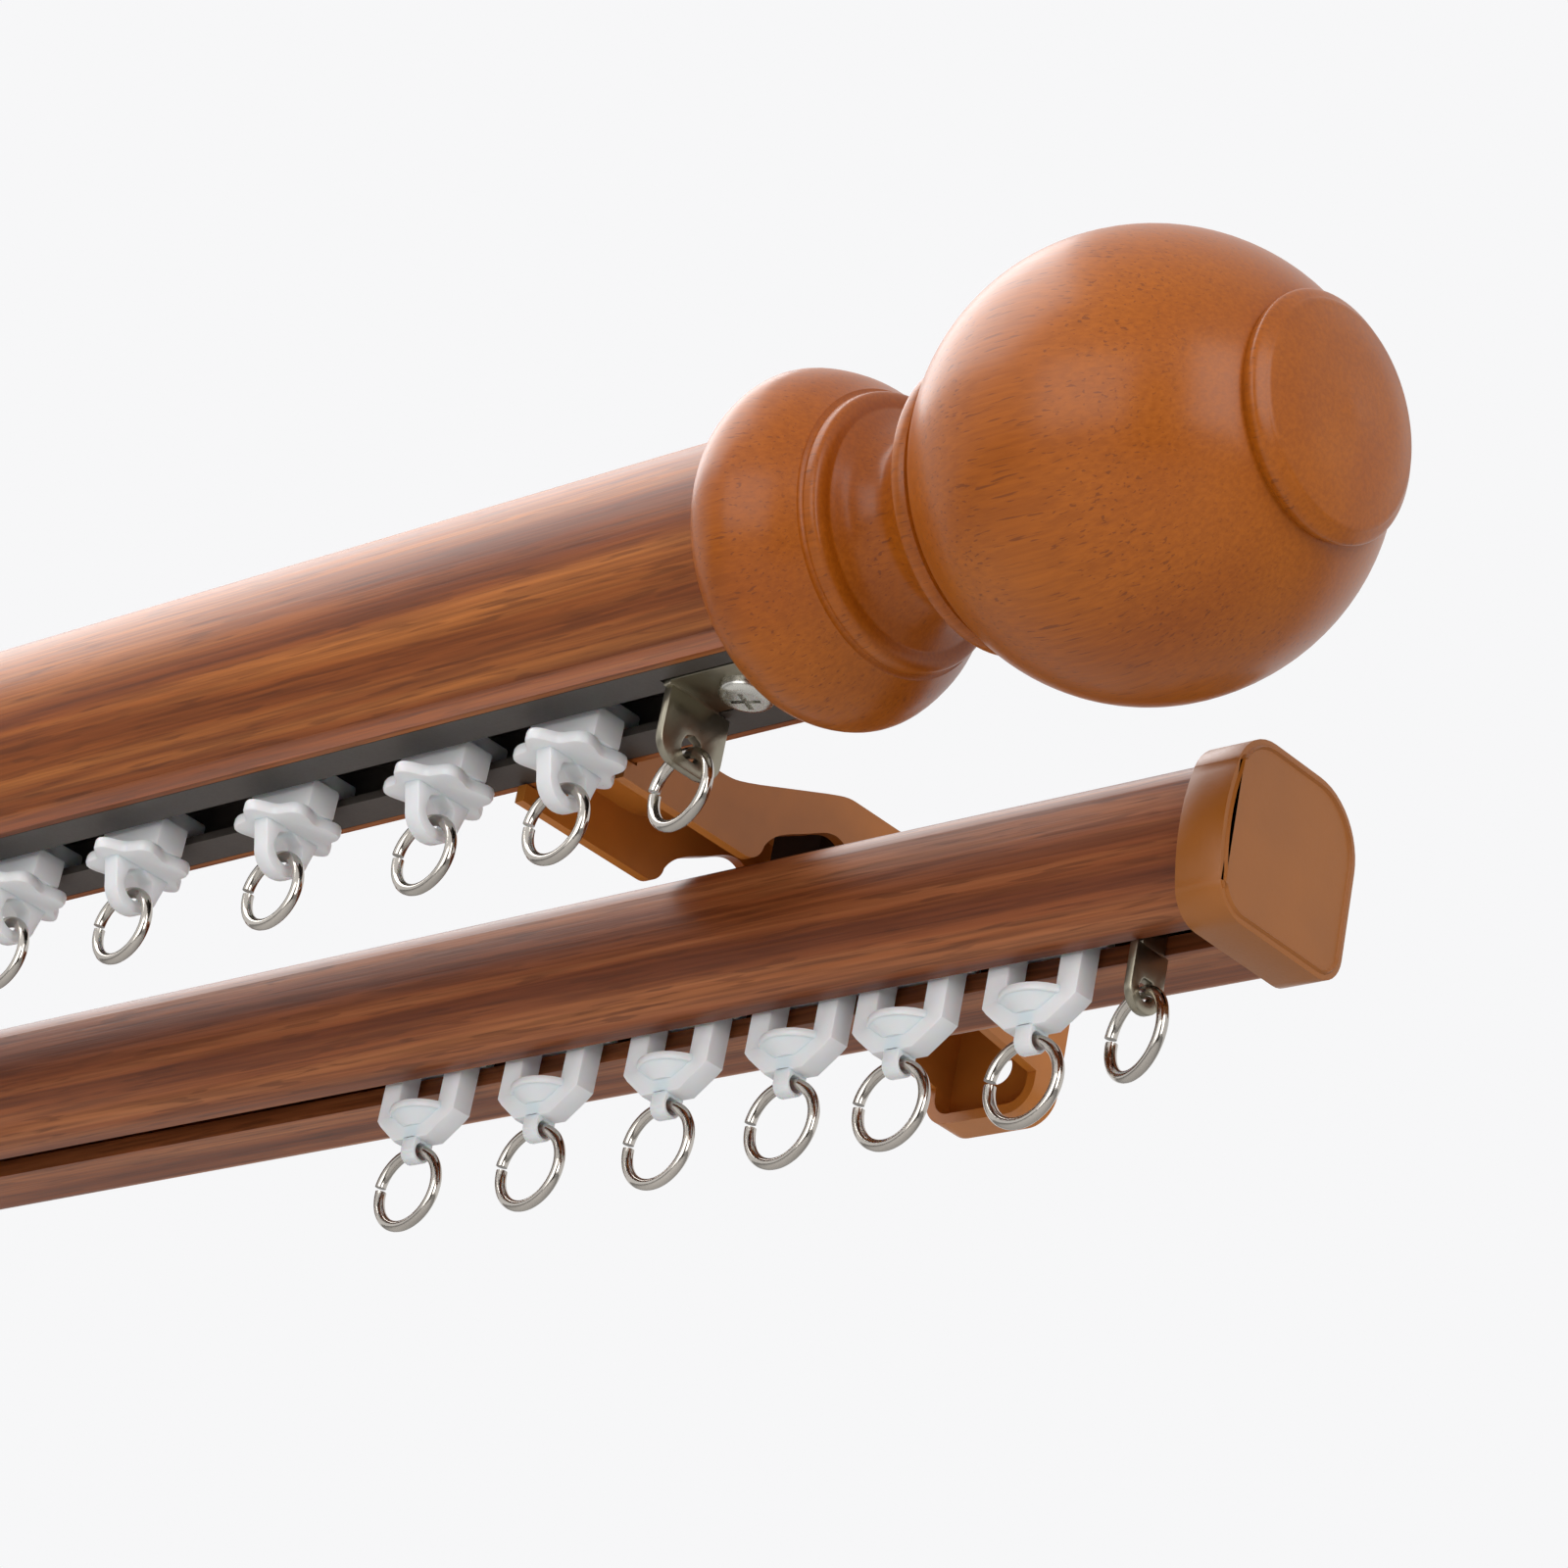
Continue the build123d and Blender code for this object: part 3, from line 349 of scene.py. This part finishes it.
TAB = [(5.5, -0.3), (5.5, -3.0)] + arc(2.1, -6.8, 3.4, 0, -90) + arc(-2.1, -6.8, 3.4, -90, -180)
TAB += [(-5.5, -3.0), (-5.5, -0.3), (0.0, -0.3)]
for name, side in SIDES:
    mesh = bmesh.new()
    plate(mesh, (side * TAB_X, FRONT_Y, TRACK_Z), FACING_X, TAB, SHEET, 0.25, (0, -7.0, 1.8))
    block(mesh, (side * TAB_X, FRONT_Y - SHEET, TRACK_Z + 0.3), (SHEET, 9.2, 1.8), 0.2)
    block(mesh, (side * (FRONT_END - 9.9), FRONT_Y - SHEET, TRACK_Z + 0.5), (11.6, 9.2, 1.2), 0.2)
    finish_piece(f"bent_front_stop_{name}", mesh, FIXED, f"front_stop_{name}", nickel)
dress("stop_screws", screw_zinc)
dress("stop_nuts", zinc)
dress("front_rail_screws", screw_zinc)
dress("rear_rail_screws", screw_zinc)

# Rings: bright nickel-plated wire of 1.6 mm, bent round, the cut ends meeting at the side.
wire = plain_finish("nickel_wire", srgb(186, 180, 172), 0.12, Metallic=1.0)
WIRE_RADIUS = 0.8
FRONT_MEAN, REAR_MEAN = 5.0, 5.6
FRONT_TURN, REAR_TURN = -5.0, -17.0
WIRE_ABOVE_FLOOR = 1.25
CUT_TURN, CUT_SHIFT = 8, 0.3
BEND_ANGLE, BEND_STEPS = 354.5, 90


def wire_ring(node, at, eye_floor, mean, turn=0.0):
    """A ring hanging in its eye, its wire bent so that the cut ends pass each other a little."""
    mesh = bmesh.new()
    middle = Vector((at[0], at[1], eye_floor + WIRE_ABOVE_FLOOR - mean)) * MM
    swing = Matrix.Translation(middle) @ Matrix.Rotation(radians(turn), 4, "Z")
    out = Matrix.Translation((-mean * MM, -CUT_SHIFT * MM / 2, 0))
    start = swing @ Matrix.Rotation(radians(CUT_TURN), 4, "Y") @ out
    made = bmesh.ops.create_circle(mesh, cap_ends=True, radius=WIRE_RADIUS * MM, segments=20,
                                   matrix=start)
    axis = swing.to_3x3() @ Vector((0, 1, 0))
    geom = made["verts"] + list(mesh.edges) + list(mesh.faces)
    bmesh.ops.spin(mesh, geom=geom, cent=middle, axis=axis, dvec=axis * CUT_SHIFT * MM / BEND_STEPS,
                   angle=radians(BEND_ANGLE), steps=BEND_STEPS)
    finish_piece(f"bent_{node}", mesh, node, node, wire, 50)


for name, side in SIDES:
    wire_ring(f"front_stop_ring_{name}", (side * TAB_X, FRONT_Y), TRACK_Z - 8.8, FRONT_MEAN,
              FRONT_TURN * side)

# Front runners: milky white moulded plastic, a head in the channel, a neck through the slot,
# a scalloped flange below it and a tongue whose eye carries the ring.
milky = plain_finish("white_plastic", srgb(232, 233, 235), 0.3, speckle=0.01, Subsurface_Weight=0.25,
                     Subsurface_Scale=0.0012)
FLANGE_TOP, FLANGE_THICK = TRACK_Z - 3.0, 1.8
FLANGE_RADIUS, LOBE_DEPTH, LOBES = 6.75, 0.85, 6
TONGUE_TOP = FLANGE_TOP - FLANGE_THICK
FRONT_EYE_FLOOR = TONGUE_TOP - 4.8
FRONT_HEAD, FRONT_NECK = (8.0, 14.0, 3.4), (12.8, 5.0, 4.6)
FRONT_GAPS = (24.4, 29.5, 31.0, 26.6, 27.0, 0)
FLANGE = []
for turn in range(0, 360, 5):
    reach = FLANGE_RADIUS - LOBE_DEPTH * cos(radians(LOBES * turn))
    FLANGE.append((reach * cos(radians(turn)), reach * sin(radians(turn))))
TONGUE = [(4.9, 1.0), (4.9, 0.0)] + arc(0, -2.6, 4.0, -8, -172, 14)
TONGUE += [(-4.9, 0.0), (-4.9, 1.0), (0.0, 1.0)]
front_x = FRONT_END - 37.5
for number, gap in enumerate(FRONT_GAPS, start=1):
    mesh = bmesh.new()
    block(mesh, (front_x, FRONT_Y, TRACK_Z + 3.2), FRONT_HEAD, 0.5)
    block(mesh, (front_x, FRONT_Y, TRACK_Z - 0.8), FRONT_NECK, 0.5)
    flange_middle = FLANGE_TOP - FLANGE_THICK / 2
    plate(mesh, (front_x, FRONT_Y, flange_middle), FACING_UP, FLANGE, FLANGE_THICK, 0.45)
    plate(mesh, (front_x, FRONT_Y, TONGUE_TOP), FACING_X, TONGUE, 2.9, 0.6, (0, -2.4, 2.4))
    runner = f"front_runner_{number}"
    finish_piece(f"moulded_{runner}", mesh, runner, runner, milky, 40)
    wire_ring(f"front_ring_{number}", (front_x, FRONT_Y), FRONT_EYE_FLOOR, FRONT_MEAN)
    front_x -= gap

# Rear rail: a rolled steel profile with a darker film, its slot below.
REAR_END, REAR_Y, REAR_Z = 338.0, -56.0, -28.8
rear_film = film_finish("rear_wood_film", srgb(178, 110, 66), srgb(148, 82, 44), srgb(118, 60, 30),
                        srgb(80, 40, 20), 0.38)
dress("rear_rail", rear_film)

# End caps of the rear rail: caramel moulded plastic cups with a soft rim and a fine line
# around their faces.
caramel = plain_finish("caramel_plastic", srgb(155, 90, 22), 0.36, speckle=0.02)
CUP_DEPTH = 7.0
LINE_STEPS = ((0.7, 0.0), (0.3, -0.35), (0.3, 0.35))
CUP = arc(11.5, 2.5, 4.2, 0, -90) + arc(-4.2, 3.5, 5.2, -90, -165)
CUP += arc(21.72, 10.44, 32.0, 195, 165, 14)
CUP += arc(-2.75, 17.0, 6.7, 165, 90) + arc(6.5, 14.5, 9.2, 90, 0, 12)
for name, side in SIDES:
    mesh = bmesh.new()
    plate(mesh, (side * (REAR_END - 1.3), REAR_Y, REAR_Z), FACING_X, CUP, CUP_DEPTH, 0.9)
    ends = [f for f in mesh.faces if len(f.verts) > 20]
    face = max(ends, key=lambda f: side * f.calc_center_median().x)
    for inset, sink in LINE_STEPS:
        bmesh.ops.inset_region(mesh, faces=[face], thickness=inset * MM, depth=sink * MM)
    finish_piece(f"moulded_rear_cap_{name}", mesh, FIXED, f"rear_cap_{name}", caramel, 40)

# End stops of the rear rail: a plate on the lips inside, its neck through the slot, and a
# plated tab with an eye for the last ring.
STOP_X = REAR_END - 15.4
REAR_TAB = [(3.15, -0.3), (3.15, -3.0)] + arc(0, -5.95, 3.15, 0, -180, 14)
REAR_TAB += [(-3.15, -3.0), (-3.15, -0.3)]
for name, side in SIDES:
    mesh = bmesh.new()
    plate(mesh, (side * STOP_X, REAR_Y, REAR_Z), FACING_X, REAR_TAB, SHEET, 0.25, (0, -5.95, 1.5))
    block(mesh, (side * STOP_X, REAR_Y, REAR_Z + 1.1), (SHEET, 4.4, 3.6), 0.15)
    block(mesh, (side * STOP_X, REAR_Y, REAR_Z + 3.55), (8.0, 8.4, SHEET), 0.2)
    finish_piece(f"plated_rear_stop_{name}", mesh, FIXED, f"rear_stop_{name}", nickel)
    wire_ring(f"rear_stop_ring_{name}", (side * STOP_X, REAR_Y), REAR_Z - 7.45, REAR_MEAN,
              REAR_TURN * side)

# Rear runners: the same milky plastic, two legs through the slot, a tapered bar, an oval boss
# like a small boat under it, and a stem with an eye.
LEGS = [(-7.8, 2.9), (-7.8, -5.2), (-7.0, -6.0), (-3.4, -8.8), (3.4, -8.8), (7.0, -6.0), (7.8, -5.2),
        (7.8, 2.9), (4.1, 2.9), (4.1, -3.8), (-4.1, -3.8), (-4.1, 2.9)]
OVAL = [(5.6 * u, 4.3 * v) for u, v in arc(0, 0, 1, 0, 345, 23)]
STEM = [(1.7, 1.2), (1.7, -0.8)] + arc(0, -1.45, 1.7, 0, -180, 14) + [(-1.7, -0.8), (-1.7, 1.2)]
REAR_HEAD, STEM_NECK = (15.6, 8.4, 3.0), (2.8, 3.4, 3.0)
BAR_BOTTOM = REAR_Z - 8.8
HULL_FOOT, HULL_TOP, HULL_DEEP = 2.2 * MM, 3.9 * MM, 1.8 * MM
HULL_STRETCH = Matrix.Diagonal((1.3, 1, 1, 1))
REAR_GAPS = (22.1, 19.0, 22.3, 24.2, 24.2, 0)
rear_x = REAR_END - 32.7
for number, gap in enumerate(REAR_GAPS, start=1):
    mesh = bmesh.new()
    block(mesh, (rear_x, REAR_Y, REAR_Z + 4.4), REAR_HEAD, 0.4)
    plate(mesh, (rear_x, REAR_Y, REAR_Z), FACING_FRONT, LEGS, 3.5, 0.4)
    plate(mesh, (rear_x, REAR_Y, REAR_Z - 4.4), FACING_UP, OVAL, 1.2, 0.35)
    hull = Matrix.Translation(Vector((rear_x, REAR_Y, REAR_Z - 5.9)) * MM) @ HULL_STRETCH
    bmesh.ops.create_cone(mesh, cap_ends=True, segments=32, radius1=HULL_FOOT, radius2=HULL_TOP,
                          depth=HULL_DEEP, matrix=hull)
    block(mesh, (rear_x, REAR_Y, REAR_Z - 7.6), STEM_NECK, 0.5)
    plate(mesh, (rear_x, REAR_Y, BAR_BOTTOM), FACING_X, STEM, 2.8, 0.5, (0, -1.4, 1.25))
    runner = f"rear_runner_{number}"
    finish_piece(f"moulded_{runner}", mesh, runner, runner, milky, 40)
    wire_ring(f"rear_ring_{number}", (rear_x, REAR_Y), BAR_BOTTOM - 2.6, REAR_MEAN)
    rear_x -= gap

# Brackets: pressed steel sheet painted caramel, folded edges left round. The front end
# cradles the rail, the arm arches over the rear rail, and the foot spreads on the wall.
paint = plain_finish("caramel_paint", srgb(186, 112, 40), 0.38)
for name, _ in SIDES:
    solid = nodes[f"bracket_{name}"]
    mesh = bmesh.new()
    mesh.from_mesh(solid.data)
    bmesh.ops.transform(mesh, matrix=solid.matrix_world, verts=mesh.verts)
    bmesh.ops.remove_doubles(mesh, verts=mesh.verts, dist=0.000005)
    bmesh.ops.dissolve_limit(mesh, angle_limit=radians(1), verts=mesh.verts, edges=mesh.edges)
    folded = finish_piece(f"folded_bracket_{name}", mesh, FIXED, f"bracket_{name}", paint, 40)
    rounding = folded.modifiers.new("fold", "BEVEL")
    rounding.width = 0.45 * MM
    rounding.segments = 2
    rounding.angle_limit = radians(50)
    dress(f"rear_clip_{name}", black_plastic)

# The room: a pale floor, soft light, a white surround and one dark screen behind the camera.


def sheet(name, size, matrix, material):
    """A flat square for the room, which isn't part of the object."""
    mesh = bmesh.new()
    bmesh.ops.create_grid(mesh, x_segments=1, y_segments=1, size=size, matrix=matrix)
    data = bpy.data.meshes.new(name)
    mesh.to_mesh(data)
    mesh.free()
    data.materials.append(material)
    card = bpy.data.objects.new(name, data)
    bpy.context.scene.collection.objects.link(card)
    return card


floor_cloth = plain_finish("pale_floor", srgb(222, 221, 220), 0.7)
sheet("floor", 6.0, Matrix.Translation((0, 0, -0.6)), floor_cloth)

world = bpy.data.worlds.new("studio")
bpy.context.scene.world = world
world.use_nodes = True
tree = world.node_tree
rays = tree.nodes.new("ShaderNodeLightPath").outputs
seen = math(tree, "MAXIMUM", rays["Is Camera Ray"], rays["Is Glossy Ray"])
seen = math(tree, "MAXIMUM", seen, rays["Is Transmission Ray"])
soft = add_node(tree, "ShaderNodeBackground", Color=(1, 1, 1, 1), Strength=0.36)
white = add_node(tree, "ShaderNodeBackground", Color=srgb(247, 247, 248), Strength=1.0)
both = add_node(tree, "ShaderNodeMixShader", i0=seen, i1=soft.outputs[0], i2=white.outputs[0])
tree.links.new(both.outputs[0], tree.nodes["World Output"].inputs["Surface"])


def soft_box(name, spot, aim, width, height, watts):
    """A rectangular studio lamp at a spot, turned to its aim."""
    lamp = bpy.data.lights.new(name, "AREA")
    lamp.shape = "RECTANGLE"
    lamp.size, lamp.size_y, lamp.energy = width, height, watts
    holder = bpy.data.objects.new(name, lamp)
    holder.location = spot
    holder.rotation_euler = (Vector(aim) - Vector(spot)).to_track_quat("-Z", "Y").to_euler()
    bpy.context.scene.collection.objects.link(holder)


LIGHT_AIM = (0.2, -0.08, -0.01)
soft_box("top_light", (-0.6, -0.4, 0.98), LIGHT_AIM, 1.8, 0.9, 17)
soft_box("window_light", (1.5, -0.6, 0.3), LIGHT_AIM, 0.7, 1.0, 8)
soft_box("front_fill", (0.45, -1.4, 0.1), LIGHT_AIM, 1.0, 0.8, 6)

# Camera at the photograph's place: its turn and tilt, and how far it stands from the rail.
CAMERA_AZIMUTH, CAMERA_ELEVATION, CAMERA_ROLL = radians(46.55), radians(-25.48), radians(11.343)
CAMERA_DISTANCE = 0.649
CAMERA_AIM = Vector((0.28403, -0.08626, -0.0132))
FOCAL_PIXELS, PHOTO_PIXELS, SENSOR = 5235.0, 1600.0, 36.0
camera_data = bpy.data.cameras.new("photo_camera")
camera_data.sensor_width = SENSOR
camera_data.lens = FOCAL_PIXELS / PHOTO_PIXELS * SENSOR
camera_data.clip_start = 0.01
camera = bpy.data.objects.new("photo_camera", camera_data)
bpy.context.scene.collection.objects.link(camera)
bpy.context.scene.camera = camera
level = cos(CAMERA_ELEVATION)
back = Vector((sin(CAMERA_AZIMUTH) * level, -cos(CAMERA_AZIMUTH) * level, sin(CAMERA_ELEVATION)))
right = Vector((0, 0, 1)).cross(back).normalized()
up = back.cross(right)
turned_right = right * cos(CAMERA_ROLL) + up * sin(CAMERA_ROLL)
turned_up = up * cos(CAMERA_ROLL) - right * sin(CAMERA_ROLL)
turned = Matrix((turned_right, turned_up, back)).transposed().to_4x4()
camera.matrix_world = Matrix.Translation(CAMERA_AIM + back * CAMERA_DISTANCE) @ turned

# The screen keeps the white surround out of the metal's and lacquer's reflections.
screen_spot = Vector((1.25, -1.15, -0.12))
toward_part = (CAMERA_AIM - screen_spot).to_track_quat("Z", "Y").to_matrix().to_4x4()
screen_cloth = plain_finish("screen_cloth", srgb(70, 64, 60), 0.9)
screen = sheet("screen", 0.45, Matrix.Translation(screen_spot) @ toward_part, screen_cloth)
screen.visible_camera = False
screen.visible_shadow = False

bpy.context.scene.view_settings.view_transform = "Standard"
